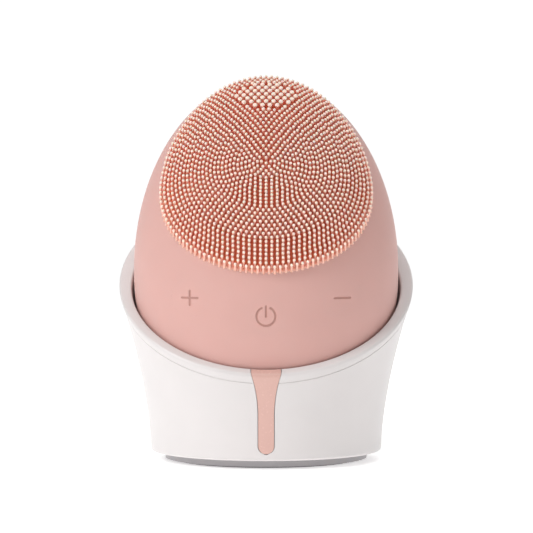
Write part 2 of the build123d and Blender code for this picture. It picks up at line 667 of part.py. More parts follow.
BALLAST_TOP = BASE_TOP + BALLAST_THICKNESS

with BuildPart() as ballast_plate:
    add(along_z(0, 0, BALLAST_RADIUS, BASE_TOP, BALLAST_TOP))
    for side in SIDES:
        hole = along_z(side * POST_X, 0, POST_RADIUS + SCREW_CLEARANCE, BASE_TOP, BALLAST_TOP)
        add(hole, mode=Mode.SUBTRACT)
    for x, y in BASE_SCREWS:
        hole_radius = FRONT_BOSS_RADIUS + SCREW_CLEARANCE
        add(along_z(x, y, hole_radius, BASE_TOP, BALLAST_TOP), mode=Mode.SUBTRACT)
finish(ballast_plate, "ballast_plate")

SOCKET_MOUTH = BASE_RADIUS - SOCKET_INSET
BOARD_REAR = SOCKET_MOUTH - CRADLE_WALL
STAND_BOARD_TOP = STAND_BOARD_LEVEL + BOARD_THICKNESS

with BuildPart() as stand_circuit_board:
    half = STAND_BOARD_HALF_WIDTH
    add(block((-half, half), (-STAND_BOARD_FRONT, BOARD_REAR), (STAND_BOARD_LEVEL, STAND_BOARD_TOP)))
    add(cradle(CRADLE_WALL + WALL_CLEARANCE), mode=Mode.INTERSECT)
    for side in SIDES:
        add(along_z(side * POST_X, 0, STAKE_RADIUS, STAND_BOARD_LEVEL, STAND_BOARD_TOP), mode=Mode.SUBTRACT)
finish(stand_circuit_board, "stand_circuit_board")

socket_middle = STAND_BOARD_TOP + SOCKET_HEIGHT / 2
mouth = Plane(origin=(0, SOCKET_MOUTH, socket_middle), x_dir=(-1, 0, 0), z_dir=(0, 1, 0))

with BuildPart() as usb_socket:
    with BuildSketch(mouth):
        SlotOverall(SOCKET_WIDTH, SOCKET_HEIGHT)
    extrude(amount=-SOCKET_LENGTH)
    with BuildSketch(mouth):
        SlotOverall(SOCKET_WIDTH - 2 * SOCKET_WALL, SOCKET_HEIGHT - 2 * SOCKET_WALL)
    extrude(amount=SOCKET_WALL - SOCKET_LENGTH, mode=Mode.SUBTRACT)
    with BuildSketch(mouth.offset(-SOCKET_LENGTH)):
        Rectangle(SOCKET_WIDTH - SOCKET_HEIGHT, TONGUE_THICKNESS)
    extrude(amount=SOCKET_LENGTH - SOCKET_WALL)
finish(usb_socket, "usb_socket")

COIL_TOP = EGG_BOTTOM + POLE_CUT - SEAT_GAP - CUP_WALL - FIT
COIL_LOW = COIL_TOP - COIL_THICKNESS

with BuildPart() as transmitter_coil:
    add(along_z(0, 0, COIL_RADIUS, COIL_LOW, COIL_TOP))
    add(along_z(0, 0, COIL_HOLE, COIL_LOW, COIL_TOP), mode=Mode.SUBTRACT)
finish(transmitter_coil, "transmitter_coil")

with BuildPart() as transmitter_ferrite:
    add(along_z(0, 0, FERRITE_RADIUS, COIL_LOW - FERRITE_THICKNESS, COIL_LOW))
finish(transmitter_ferrite, "transmitter_ferrite")
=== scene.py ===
import json
import math

import bmesh
import bpy
import numpy as np
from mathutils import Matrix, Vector


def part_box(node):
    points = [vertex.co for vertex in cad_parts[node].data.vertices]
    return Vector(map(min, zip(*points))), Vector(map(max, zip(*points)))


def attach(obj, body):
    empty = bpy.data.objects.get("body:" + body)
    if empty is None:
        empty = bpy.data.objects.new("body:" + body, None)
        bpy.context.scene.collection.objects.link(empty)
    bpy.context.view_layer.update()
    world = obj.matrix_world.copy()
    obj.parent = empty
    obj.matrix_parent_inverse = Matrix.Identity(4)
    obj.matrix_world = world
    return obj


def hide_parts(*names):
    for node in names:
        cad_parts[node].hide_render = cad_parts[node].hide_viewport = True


bl_info = {
    "name": "Facial Cleansing Brush",
    "version": (1, 0, 0),
    "blender": (4, 5, 0),
    "location": "3D View > Sidebar > Brush",
    "description": "Builds an egg-shaped silicone cleansing brush in its cradle round a fixed frame",
    "category": "Add Mesh",
}

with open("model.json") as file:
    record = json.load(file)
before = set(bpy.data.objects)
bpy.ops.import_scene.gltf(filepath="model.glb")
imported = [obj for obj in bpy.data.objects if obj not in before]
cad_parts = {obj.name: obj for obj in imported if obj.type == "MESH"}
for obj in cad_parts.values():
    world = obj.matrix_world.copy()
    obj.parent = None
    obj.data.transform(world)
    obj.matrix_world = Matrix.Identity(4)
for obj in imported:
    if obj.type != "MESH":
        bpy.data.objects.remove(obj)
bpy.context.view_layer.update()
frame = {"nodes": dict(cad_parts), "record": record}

MM = 0.001

# The handset's egg, in millimetres: the same rule as the frame's sleeve.
EGG_HALF_WIDTH = 36.0
EGG_BOTTOM = 13.0
EGG_FLAT = float(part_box("silicone_sleeve")[0][2] / MM)
EGG_TOP = 103.6
EGG_WIDEST = 52.0
EGG_FRONT = 31.5
EGG_FRONT_LEVEL = 47.0
EGG_REAR = 30.5
EGG_REAR_LEVEL = 56.0
CREST_Y = 12.0
LOWER_POWER = 2.4  # below the widest level, sides and back
CHIN_POWER = 3.0   # below the widest level, front
SLOPE_POWER = 1.8  # the front's lean up to the crest

# The cradle: level base section, tilted rim section.
BASE_RADIUS = 31.4
BASE_LEVEL = 2.4
RIM_HALF_WIDTH = 40.3
RIM_FRONT = 31.9
RIM_REAR = 35.8
RIM_TILT = math.radians(34.0)
RIM_LEVEL = 47.0
FLARE = 1.6
COLLAR_HEIGHT = 2.0
SEAT_GAP = 0.3
RIM_GAP = 0.9
CUP_WALL = 1.2
CRADLE_WALL = 2.0

# Bristles: the draw direction of the mould and the pad's outline seen along it.
DRAW_ANGLE = math.radians(40.0)
DRAW = np.array([0.0, -math.cos(DRAW_ANGLE), math.sin(DRAW_ANGLE)])
SLOPE = np.array([0.0, math.sin(DRAW_ANGLE), math.cos(DRAW_ANGLE)])
PAD_HALF_WIDTH = 28.4
PAD_LEVEL = 47.4
PAD_UP = 35.5
PAD_DOWN = 27.1
PAD_POWER = 1.8
CROWN = np.array([0.0, 72.5])       # centre of the cluster of stout bristles
CROWN_HALF = np.array([8.6, 6.4])   # its half width and half height

INLAY_HALF_WIDTH = 2.1
INLAY_FLARE = 1.1
INLAY_END = 4.3
INLAY_DEPTH = 0.9

# Across and level of each key's centre.
KEYS = {"power": (0.0, 41.0), "plus": (-20.3, 45.6), "minus": (20.3, 45.6)}


# ------------------------------------------------------------------ shape rules
def oval(height, power):
    """Share of the full radius left at a height between 0 and 1."""
    return np.maximum(0.0, 1 - np.clip(height, 0, 1) ** power) ** (1 / power)


def half_width(z):
    """Half width of the egg at level z."""
    low = oval((EGG_WIDEST - z) / (EGG_WIDEST - EGG_BOTTOM), LOWER_POWER)
    high = oval((z - EGG_WIDEST) / (EGG_TOP - EGG_WIDEST), 2)
    return EGG_HALF_WIDTH * np.where(z < EGG_WIDEST, low, high)


def front(z):
    """y of the egg's front at level z."""
    low = -EGG_FRONT * oval((EGG_FRONT_LEVEL - z) / (EGG_FRONT_LEVEL - EGG_BOTTOM), CHIN_POWER)
    lean = oval((z - EGG_FRONT_LEVEL) / (EGG_TOP - EGG_FRONT_LEVEL), SLOPE_POWER)
    high = CREST_Y - (EGG_FRONT + CREST_Y) * lean
    return np.where(z < EGG_FRONT_LEVEL, low, high)


def rear(z):
    """y of the egg's back at level z."""
    low = EGG_REAR * oval((EGG_REAR_LEVEL - z) / (EGG_REAR_LEVEL - EGG_BOTTOM), LOWER_POWER)
    lean = oval((z - EGG_REAR_LEVEL) / (EGG_TOP - EGG_REAR_LEVEL), 2)
    return np.where(z < EGG_REAR_LEVEL, low, CREST_Y + (EGG_REAR - CREST_Y) * lean)


def egg_section(angle, z):
    """Point of the egg at an angle round its section at level z."""
    z = np.asarray(z, float)
    middle = (front(z) + rear(z)) / 2
    depth = (rear(z) - front(z)) / 2
    return np.stack([half_width(z) * np.cos(angle), middle + depth * np.sin(angle), z + 0 * angle], -1)


def egg_level(point):
    """Below 1 inside the egg, above 1 outside it."""
    x, y, z = point[..., 0], point[..., 1], point[..., 2]
    middle = (front(z) + rear(z)) / 2
    depth = np.maximum((rear(z) - front(z)) / 2, 1e-6)
    width = np.maximum(half_width(z), 1e-6)
    outside = (z > EGG_TOP) | (z < EGG_BOTTOM)
    return np.where(outside, 9.0, (x / width) ** 2 + ((y - middle) / depth) ** 2)


def on_egg_along(origin, direction, far=110.0, near=0.0):
    """First point of the egg met by a line that comes in against direction."""
    steps = np.linspace(far, near, 221)
    hit = np.full(len(origin), near)
    found = np.zeros(len(origin), bool)
    for step in steps:
        inside = egg_level(origin + step * direction) < 1
        hit = np.where(inside & ~found, step, hit)
        found |= inside
    low, high = hit, hit + (steps[0] - steps[1])
    for _ in range(24):
        middle = (low + high) / 2
        inside = egg_level(origin + middle[:, None] * direction) < 1
        low = np.where(inside, middle, low)
        high = np.where(inside, high, middle)
    return origin + low[:, None] * direction


def front_at(x, z):
    """y of the egg's front surface at x and z."""
    middle = (front(z) + rear(z)) / 2
    depth = (rear(z) - front(z)) / 2
    return middle - depth * np.sqrt(np.maximum(0.0, 1 - (x / half_width(z)) ** 2))


def pad_outline(angle, share=1.0):
    """Point of the pad's outline, shrunk to a share, in its own plane: across and up the slope."""
    wide, high = np.cos(angle), np.sin(angle)
    power = np.where(high > 0, 2 / PAD_POWER, 1.0)
    across = np.sign(wide) * np.abs(wide) ** power
    up = np.sign(high) * np.abs(high) ** power * np.where(high > 0, PAD_UP, PAD_DOWN)
    return share * PAD_HALF_WIDTH * across, PAD_LEVEL + share * up


def on_slope(across, up):
    """Point of the skin under a point of the pad's plane."""
    flat = np.zeros((len(across), 3))
    flat[:, 0] = across
    return on_egg_along(flat + np.asarray(up)[:, None] * SLOPE, DRAW)


def cradle_section(share, angle, inset=0.0):
    """Point of the cradle's outer wall, share 0 at the level base and 1 at the tilted rim."""
    tilt = RIM_TILT * share
    flare = share**FLARE
    across = BASE_RADIUS + (RIM_HALF_WIDTH - BASE_RADIUS) * flare - inset
    near = (BASE_RADIUS + (RIM_FRONT - BASE_RADIUS) * flare) / np.cos(tilt) - inset
    far = (BASE_RADIUS + (RIM_REAR - BASE_RADIUS) * share) / np.cos(tilt) - inset
    along = (far - near) / 2 + (far + near) / 2 * np.sin(angle)
    level = BASE_LEVEL + (RIM_LEVEL - BASE_LEVEL) * share
    return np.stack([across * np.cos(angle), along * np.cos(tilt), level + along * np.sin(tilt)], -1)


def below_rim(point):
    """Distance of a point below the plane of the rim."""
    return point[..., 1] * math.sin(RIM_TILT) - (point[..., 2] - RIM_LEVEL) * math.cos(RIM_TILT)


def solve(measure, target, low, high, count):
    """Value between low and high at which a falling measure reaches the target, for each of count."""
    low, high = np.full(count, low), np.full(count, high)
    for _ in range(34):
        middle = (low + high) / 2
        short = measure(middle) > target
        low = np.where(short, middle, low)
        high = np.where(short, high, middle)
    return (low + high) / 2


def wall_ring(angle, drop, inset=0.0):
    """Ring of the cradle's wall at a distance below the plane of the rim."""
    share = solve(lambda s: below_rim(cradle_section(s, angle)), drop, 0.0, 1.0, len(angle))
    return cradle_section(share, angle, inset)


def bowl_section(rise, angle, grow=0.0):
    """Point of the cup's room; rise 0 at its floor, 1 at its widest level, more above it."""
    low = EGG_FLAT - SEAT_GAP - grow
    share = np.minimum(rise, 1.0)
    level = EGG_FLAT + share * (EGG_WIDEST - EGG_FLAT)
    gap = grow + SEAT_GAP + (RIM_GAP - SEAT_GAP) * share**2
    middle = (front(level) + rear(level)) / 2
    depth = (rear(level) - front(level)) / 2 + gap
    z = low + rise * (EGG_WIDEST - low)
    x = (half_width(level) + gap) * np.cos(angle)
    return np.stack([x, middle + depth * np.sin(angle), z + 0 * angle], -1)


def bowl_rise(angle, drop, grow=0.0):
    """Rise at which the cup's wall is a distance below the plane of the rim."""
    return solve(lambda r: below_rim(bowl_section(r, angle, grow)), drop, 0.05, 2.0, len(angle))


def inlay_half_width(z):
    """Half width of the inlay at level z: straight below, flaring towards the rim."""
    return INLAY_HALF_WIDTH + INLAY_FLARE * (np.maximum(0.0, z - 14.0) / 9.0) ** 2.2


def egg_normal(point):
    """Outward direction of the egg's surface at a point."""
    step = 0.01
    slope = [
        egg_level(point + step * axis) - egg_level(point - step * axis)
        for axis in np.eye(3)
    ]
    slope = np.stack(slope, -1)
    return slope / np.linalg.norm(slope, axis=-1)[..., None]


# --------------------------------------------------------------- mesh helpers
def ring_angles(count):
    return np.linspace(0, 2 * np.pi, count, endpoint=False)


def ring_faces(first, second, count):
    """Quads between two rings of vertices, given by their first index."""
    return [
        (first + i, first + (i + 1) % count, second + (i + 1) % count, second + i)
        for i in range(count)
    ]


def lathe(rings, close_low=True, close_high=True, loop=False):
    """Vertices and faces of a stack of rings, capped by fans or closed on itself."""
    count = len(rings[0])
    verts = np.concatenate(rings)
    faces = []
    for i in range(len(rings) - 1):
        faces += ring_faces(i * count, (i + 1) * count, count)
    if loop:
        faces += ring_faces((len(rings) - 1) * count, 0, count)
        return verts, faces
    if close_low:
        verts = np.vstack([verts, rings[0].mean(0)])
        faces += [((i + 1) % count, i, len(verts) - 1) for i in range(count)]
    if close_high:
        start = (len(rings) - 1) * count
        verts = np.vstack([verts, rings[-1].mean(0)])
        faces += [(start + i, start + (i + 1) % count, len(verts) - 1) for i in range(count)]
    return verts, faces


def new_object(name, verts, faces):
    """Object from millimetre vertices, smooth shaded, with outward faces."""
    mesh = bpy.data.meshes.new(name)
    mesh.from_pydata((np.asarray(verts) * MM).tolist(), [], faces)
    bm = bmesh.new()
    bm.from_mesh(mesh)
    bmesh.ops.recalc_face_normals(bm, faces=bm.faces)
    bm.to_mesh(mesh)
    bm.free()
    mesh.polygons.foreach_set("use_smooth", np.ones(len(mesh.polygons), bool))
    piece = bpy.data.objects.new(name, mesh)
    bpy.context.scene.collection.objects.link(piece)
    return piece


def sharpen(piece, degrees):
    piece.data.set_sharp_from_angle(angle=math.radians(degrees))
    return piece


def evaluated(piece):
    """Replace a piece's mesh by its evaluated one and drop its modifiers."""
    graph = bpy.context.evaluated_depsgraph_get()
    graph.update()
    mesh = bpy.data.meshes.new_from_object(piece.evaluated_get(graph), depsgraph=graph)
    piece.modifiers.clear()
    piece.data = mesh
    return piece


def cut(piece, cutter):
    """Subtract a closed cutter from a closed piece."""
    modifier = piece.modifiers.new("cut", "BOOLEAN")
    modifier.operation = "DIFFERENCE"
    modifier.solver = "MANIFOLD"
    modifier.object = cutter
    evaluated(piece)
    bpy.data.objects.remove(cutter)
    return piece


def smooth_as_egg(piece, allowed=None):
    """Shade the faces that lie on the egg's surface with that surface's own directions."""
    mesh = piece.data
    points = np.empty(len(mesh.vertices) * 3)
    mesh.vertices.foreach_get("co", points)
    points = points.reshape(-1, 3) / MM
    normals = egg_normal(points)
    corners = np.empty(len(mesh.loops) * 3)
    mesh.corner_normals.foreach_get("vector", corners)
    corners = corners.reshape(-1, 3)
    on_skin = np.abs(egg_level(points) - 1) < 0.004
    if allowed is not None:
        on_skin &= allowed
    vertex_of = np.empty(len(mesh.loops), int)
    mesh.loops.foreach_get("vertex_index", vertex_of)
    corner_counts = [face.loop_total for face in mesh.polygons]
    face_normals = np.repeat([tuple(face.normal) for face in mesh.polygons], corner_counts, 0)
    faces_out = np.einsum("ij,ij->i", face_normals, normals[vertex_of]) > 0.85
    chosen = (on_skin[vertex_of] & faces_out)[:, None]
    mesh.normals_split_custom_set(np.where(chosen, normals[vertex_of], corners).tolist())
    return piece


def bar_along_y(name, x, z, radius, start, end, sides=96):
    """Round bar along Y, as a cutter."""
    angle = ring_angles(sides)
    rings = [
        np.stack([x + radius * np.cos(angle), np.full(sides, y), z + radius * np.sin(angle)], -1)
        for y in (start, end)
    ]
    return new_object(name, *lathe(rings))


def dress(piece, body, slot, material, *replaced):
    """Give a finished piece its body, material and the CAD nodes it stands for; the slot argument is not
    used.
    """
    piece.data.materials.clear()
    piece.data.materials.append(material)
    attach(piece, body)
    if replaced:
        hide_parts(*replaced)
    return piece


# ----------------------------------------------------------------- materials
def linear(code, alpha=1.0):
    """Linear colour of an sRGB hex code."""
    values = [int(code[i:i + 2], 16) / 255 for i in (1, 3, 5)]
    return [v / 12.92 if v <= 0.04045 else ((v + 0.055) / 1.055) ** 2.4 for v in values] + [alpha]


def add_node(tree, kind, settings=None, inputs=None):
    """Add a node, set its properties, and set or link its inputs by name or number."""
    node = tree.nodes.new(kind)
    for key, value in (settings or {}).items():
        setattr(node, key, value)
    for key, value in (inputs or {}).items():
        if isinstance(value, bpy.types.NodeSocket):
            tree.links.new(value, node.inputs[key])
        else:
            node.inputs[key].default_value = value
    return node


def blend_colours(tree, factor, first, second):
    """Colour output between two colours or sockets."""
    mix = add_node(tree, "ShaderNodeMix", {"data_type": "RGBA"}, {0: factor, 6: first, 7: second})
    return mix.outputs[2]


def finish_material(name, colour, roughness, grain_mm, bump, sign=None, **constants):
    """Plain moulded surface: colour and roughness vary a little, with a fine grain as bump."""
    material = bpy.data.materials.new(name)
    material.use_nodes = True
    tree = material.node_tree
    tree.nodes.clear()
    place = add_node(tree, "ShaderNodeTexCoord").outputs["Object"]
    broad = add_node(tree, "ShaderNodeTexNoise", None,
                     {"Vector": place, "Scale": 1 / (12 * MM), "Detail": 2.0})
    fine = add_node(tree, "ShaderNodeTexNoise", None,
                    {"Vector": place, "Scale": 1 / (grain_mm * MM), "Detail": 3.0})
    lighter = [min(1.0, 1.06 * value) for value in colour[:3]] + [1.0]
    base = blend_colours(tree, broad.outputs["Fac"], list(colour), lighter)
    # Painted shade: the grooves of pressed-in signs are painted darker through the sign attribute.
    if sign:
        pressed = add_node(tree, "ShaderNodeAttribute", {"attribute_name": "sign"}).outputs["Fac"]
        base = blend_colours(tree, pressed, base, list(sign))
    rough = add_node(tree, "ShaderNodeMapRange", None,
                     {"Value": fine.outputs["Fac"], "To Min": roughness - 0.05, "To Max": roughness + 0.05})
    relief = add_node(tree, "ShaderNodeBump", None,
                      {"Height": fine.outputs["Fac"], "Strength": bump, "Distance": 0.05 * MM})
    shader = add_node(tree, "ShaderNodeBsdfPrincipled", None,
                      {"Base Color": base, "Roughness": rough.outputs["Result"],
                       "Normal": relief.outputs["Normal"], **constants})
    add_node(tree, "ShaderNodeOutputMaterial", None, {"Surface": shader.outputs["BSDF"]})
    return material


def silicone_skin(colours):
    """Liquid silicone rubber, moulded in a blasted tool."""
    # Gives the eye a soft matt skin: light sinks in a little and the edges glow faintly.
    return finish_material(
        "moulded_silicone_skin", colours.skin, 0.55, 0.35, 0.12, sign=colours.sign,
        **{"IOR": 1.41, "Subsurface Weight": 0.12, "Subsurface Radius": (1.0, 0.45, 0.35),
           "Subsurface Scale": 1.2 * MM, "Sheen Weight": 0.12, "Sheen Roughness": 0.45})


def bristle_silicone(colours):
    """Softer silicone of the bristles."""
    # Gives the eye painted shade, warm and red, between the roots and a painted highlight, a pale dot, on
    # every tip.
    material = bpy.data.materials.new("moulded_silicone_bristles")
    material.use_nodes = True
    tree = material.node_tree
    tree.nodes.clear()
    height = add_node(tree, "ShaderNodeAttribute", {"attribute_name": "height"}).outputs["Fac"]
    edge = add_node(tree, "ShaderNodeAttribute", {"attribute_name": "edge"}).outputs["Fac"]
    painted_light_share = add_node(tree, "ShaderNodeMath", {"operation": "MAXIMUM"}, {0: height, 1: edge}).outputs[0]
    # The ramp runs from the painted root shade through the silicone's own peach to the painted tip
    # highlight.
    ramp = add_node(tree, "ShaderNodeValToRGB", None, {"Fac": painted_light_share})
    stops = ramp.color_ramp.elements
    stops[0].position, stops[0].color = 0.0, colours.bristle_root
    stops[1].position, stops[1].color = 1.0, colours.bristle_tip_painted_highlight
    for position, share in ((0.15, 0.18), (0.55, 0.40), (0.78, 0.66), (0.88, 0.94)):
        stop = stops.new(position)
        stop.color = [a + share * (b - a) for a, b in zip(colours.bristle_root, colours.bristle_tip_painted_highlight)]
    shader = add_node(tree, "ShaderNodeBsdfPrincipled", None,
                      {"Base Color": ramp.outputs["Color"], "Roughness": 0.42, "IOR": 1.41,
                       "Subsurface Weight": 0.25, "Subsurface Radius": (1.0, 0.4, 0.25),
                       "Subsurface Scale": 0.5 * MM})
    add_node(tree, "ShaderNodeOutputMaterial", None, {"Surface": shader.outputs["BSDF"]})
    return material


# The wave texture turns through this many radians in one unit at a scale of 1.
WAVE_RATE = 20


def wound_copper():
    """Enamelled copper wire wound flat."""
    # Gives the eye fine shining rings, one for each turn of 0.4 mm wire.
    material = finish_material("wound_enamelled_copper", linear("#B8683A"), 0.3, 0.3, 0.05,
                               **{"Metallic": 1.0})
    tree = material.node_tree
    shader = next(n for n in tree.nodes if n.type == "BSDF_PRINCIPLED")
    place = add_node(tree, "ShaderNodeTexCoord").outputs["Object"]
    rings = add_node(tree, "ShaderNodeTexWave",
                     {"wave_type": "RINGS", "rings_direction": "Z", "wave_profile": "SIN"},
                     {"Vector": place, "Scale": math.tau / (WAVE_RATE * 0.4 * MM)})
    relief = add_node(tree, "ShaderNodeBump", None,
                      {"Height": rings.outputs["Fac"], "Strength": 0.8, "Distance": 0.2 * MM})
    tree.links.new(relief.outputs["Normal"], shader.inputs["Normal"])
    return material


# Name, colour, roughness, grain in millimetres, bump and constants of each plain finish.
PLAIN_FINISHES = {
    # A rubber foot: dark and dull, no highlight.
    "grey_rubber": ("moulded_rubber_pad", "#6E6B6C", 0.75, 0.5, 0.25, {"IOR": 1.45}),
    # Plated sheet and screws: cool grey metal with a soft sheen.
    "plated_steel": ("zinc_plated_sheet", "#A9ABAE", 0.35, 0.6, 0.08, {"Metallic": 1.0}),
    "screw_steel": ("zinc_plated_wire", "#B4B6B8", 0.30, 0.5, 0.06, {"Metallic": 1.0}),
    # Solder mask: glossy green over the weave.
    "board_green": ("solder_masked_board", "#1E5B38", 0.32, 0.8, 0.05, {"IOR": 1.55}),
    # Nickel: bright, nearly smooth.
    "socket_steel": ("nickel_plated_sheet", "#C4C6C8", 0.25, 0.5, 0.04, {"Metallic": 1.0}),
    # Pressed ferrite: almost black, dull and grainy.
    "ferrite": ("pressed_ferrite", "#34322F", 0.65, 0.3, 0.2, {"IOR": 1.6}),
    # Casing and gasket under the skin: warm white, and a dull black line.
    "casing_plastic": ("moulded_abs_ivory", "#E6E2DC", 0.45, 0.5, 0.08, {"IOR": 1.54}),
    "gasket_rubber": ("moulded_rubber_black", "#2B2A2A", 0.7, 0.4, 0.2, {"IOR": 1.45}),
    # Glass-filled nylon: grey with a rough grain.
    "frame_plastic": ("moulded_glass_filled_nylon", "#55565A", 0.55, 0.3, 0.2, {"IOR": 1.53}),
    # Drawn can: bright steel with faint streaks.
    "motor_steel": ("drawn_steel_can", "#B4B4B2", 0.28, 0.8, 0.05, {"Metallic": 1.0}),
    # Shrunk wrap: shiny blue film.
    "battery_wrap": ("shrunk_pvc_wrap", "#2E5E8C", 0.30, 1.0, 0.06, {"IOR": 1.54}),
    # Switch bodies: plain black.
    "switch_plastic": ("moulded_nylon_black", "#26262A", 0.5, 0.3, 0.12, {"IOR": 1.53}),
    # Sintered weight: dull yellowish metal.
    "weight_brass": ("sintered_tungsten_brass", "#9A8F7C", 0.45, 0.3, 0.2, {"Metallic": 1.0}),
}


def make_materials(colours):
    """One material for each slot of the record."""
    plastic = {"IOR": 1.54}
    made = {
        "pink_silicone": silicone_skin(colours),
        "bristle_silicone": bristle_silicone(colours),
        "copper_coil": wound_copper(),
        # Moulded white casing: satin, with a soft highlight along the rim.
        "white_plastic": finish_material("moulded_abs_white", colours.cradle, 0.34, 0.5, 0.04, **plastic),
        # Moulded pink strip: glossier than the casing round it.
        "pink_plastic": finish_material("moulded_abs_pink", colours.inlay, 0.26, 0.6, 0.01, **plastic),
        # Recessed foot: plain matt grey.
        "grey_plastic": finish_material("moulded_abs_grey", colours.foot, 0.40, 0.4, 0.08, **plastic),
    }
    for slot, (name, colour, roughness, grain, bump, constants) in PLAIN_FINISHES.items():
        made[slot] = finish_material(name, linear(colour), roughness, grain, bump, **constants)
    return made


MATERIALS = {}


# ---------------------------------------------------------------- property groups
def colour_property(name, description, code):
    return bpy.props.FloatVectorProperty(
        name=name, description=description, default=linear(code), size=4, min=0, max=1, subtype="COLOR")


class BRUSH_PG_colours(bpy.types.PropertyGroup):
    skin: colour_property("Skin", "Silicone skin of the handset", "#D4A69E")
    # Painted shade: the grooves of the signs are painted this darker colour besides their real depth.
    sign: colour_property("Signs", "Bottom of the pressed-in signs", "#BB8C82")
    # Painted shade: the root colour stands for the shade between the bristles.
    bristle_root: colour_property("Bristle roots", "Silicone between the bristles", "#E67955")
    # Painted highlight: the tip colour stands for the light on each bristle's head.
    bristle_tip_painted_highlight: colour_property("Bristle tips", "Tip of a bristle", "#FFEADC")
    cradle: colour_property("Cradle", "Shell and cup of the cradle", "#DDD8D7")
    inlay: colour_property("Inlay", "Strip in the cradle's front", "#D9AFA4")
    foot: colour_property("Foot", "Recessed foot of the cradle", "#ABA7A9")


class BRUSH_PG_skin(bpy.types.PropertyGroup):
    columns: bpy.props.IntProperty(name="Columns", description="Faces round the skin", default=288)
    rows: bpy.props.IntProperty(name="Rows", description="Faces from pole to pole", default=168)
    key_radius: bpy.props.FloatProperty(
        name="Key radius", description="Radius of a key's disc in millimetres", default=5.0)
    key_gap: bpy.props.FloatProperty(
        name="Key gap", description="Hairline round a key in millimetres", default=0.005)
    pocket_depth: bpy.props.FloatProperty(
        name="Pocket depth", description="Room behind a key in millimetres", default=2.6)
    sign_depth: bpy.props.FloatProperty(
        name="Sign depth", description="Depth of a pressed-in sign in millimetres", default=0.22)
    stroke: bpy.props.FloatProperty(
        name="Stroke", description="Width of a sign's stroke in millimetres", default=0.52)


class BRUSH_PG_bristles(bpy.types.PropertyGroup):
    pitch: bpy.props.FloatProperty(
        name="Pitch", description="Distance along a ring in millimetres", default=1.5)
    rings: bpy.props.IntProperty(name="Rings", description="Rings from the edge to the centre", default=27)
    length: bpy.props.FloatProperty(
        name="Length", description="Bristle length in millimetres", default=2.8)
    radius: bpy.props.FloatProperty(
        name="Radius", description="Radius of a bristle's head in millimetres", default=0.43)
    crown: bpy.props.FloatProperty(
        name="Crown", description="Extra girth of the cluster's bristles near the crest", default=0.62)
    crown_pitch: bpy.props.FloatProperty(
        name="Crown pitch", description="Distance between the cluster's bristles", default=2.0)
    crest_trim: bpy.props.FloatProperty(
        name="Crest trim", description="Share by which bristles at the crest are shorter", default=0.10)


class BRUSH_PG_cradle(bpy.types.PropertyGroup):
    columns: bpy.props.IntProperty(name="Columns", description="Faces round the cradle", default=256)
    rim_round: bpy.props.FloatProperty(
        name="Rim round", description="Radius of the rim's edges in millimetres", default=0.7)
    base_round: bpy.props.FloatProperty(
        name="Base round", description="Radius of the lower edge in millimetres", default=0.8)
    inner_round: bpy.props.FloatProperty(
        name="Inner round", description="Radius of the rim's inner edge in millimetres", default=0.55)
    parting: bpy.props.FloatProperty(
        name="Parting", description="Hairline under the collar in millimetres", default=0.12)
    inlay_gap: bpy.props.FloatProperty(
        name="Inlay gap", description="Hairline round the inlay in millimetres", default=0.18)


class BRUSH_PG_stage(bpy.types.PropertyGroup):
    distance: bpy.props.FloatProperty(
        name="Distance", description="Camera distance", default=1.1, unit="LENGTH")
    elevation: bpy.props.FloatProperty(
        name="Elevation", description="Camera elevation", default=math.radians(3.2), subtype="ANGLE")
    frame_width: bpy.props.FloatProperty(
        name="Frame width", description="Width of the view at the object in metres", default=0.14535)


class BRUSH_OT_materials(bpy.types.Operator):
    """Materials of every slot"""
    bl_idname = "brush.materials"
    bl_label = "Materials"

    def execute(self, context):
        MATERIALS.update(make_materials(context.scene.brush_colours))
        return {"FINISHED"}


# ---------------------------------------------------------------- handset pieces
class BRUSH_OT_skin(bpy.types.Operator):
    """Silicone skin with a pocket for each key"""
    bl_idname = "brush.skin"
    bl_label = "Skin"

    def execute(self, context):
        size = context.scene.brush_skin
        angle = ring_angles(size.columns)
        lower = np.linspace(np.pi / 2, 0, size.rows // 2, endpoint=False)
        levels = [EGG_WIDEST - (EGG_WIDEST - EGG_BOTTOM) * math.sin(a) ** (2 / LOWER_POWER) for a in lower]
        levels = [z for z in levels if z > EGG_FLAT + 0.02]
        upper = np.linspace(0, np.pi / 2, size.rows // 2, endpoint=False)
        levels = [EGG_FLAT + 0.005] + levels
        levels += [EGG_WIDEST + (EGG_TOP - EGG_WIDEST) * math.sin(a) for a in upper]
        rings = [egg_section(angle, z) for z in levels]
        skin = new_object("handset_skin", *lathe(rings))
        for name, (x, z) in KEYS.items():
            surface = float(front_at(x, z))
            radius = size.key_radius + size.key_gap
            deepest = float(front_at(abs(x) + radius, z))
            cut(skin, bar_along_y(f"{name}_pocket", x, z, radius, surface - 8, deepest + size.pocket_depth))
        sharpen(skin, 35)
        smooth_as_egg(skin)
        dress(skin, "handset", "pink_silicone", MATERIALS["pink_silicone"], "silicone_sleeve")
        return {"FINISHED"}


def smooth_step(low, high, value):
    t = np.clip((value - low) / (high - low), 0, 1)
    return t * t * (3 - 2 * t)


def sign_distance(sign, x, z):
    """Distance from a sign's centre line, in millimetres; x is to the right, z up."""
    def bar(half_x, half_z, at_z=0.0):
        return np.hypot(np.maximum(np.abs(x) - half_x, 0), np.maximum(np.abs(z - at_z) - half_z, 0))

    if sign == "plus":
        return np.minimum(bar(2.05, 0.0), bar(0.0, 1.88))
    if sign == "minus":
        return bar(2.05, 0.0)
    radius, opening = 2.5, math.radians(28)
    around = np.arctan2(np.abs(x), z)
    ends = np.hypot(np.abs(x) - radius * math.sin(opening), z - radius * math.cos(opening))
    ring = np.where(around > opening, np.abs(np.hypot(x, z) - radius), ends)
    return np.minimum(ring, bar(0.0, 1.35, 1.3))


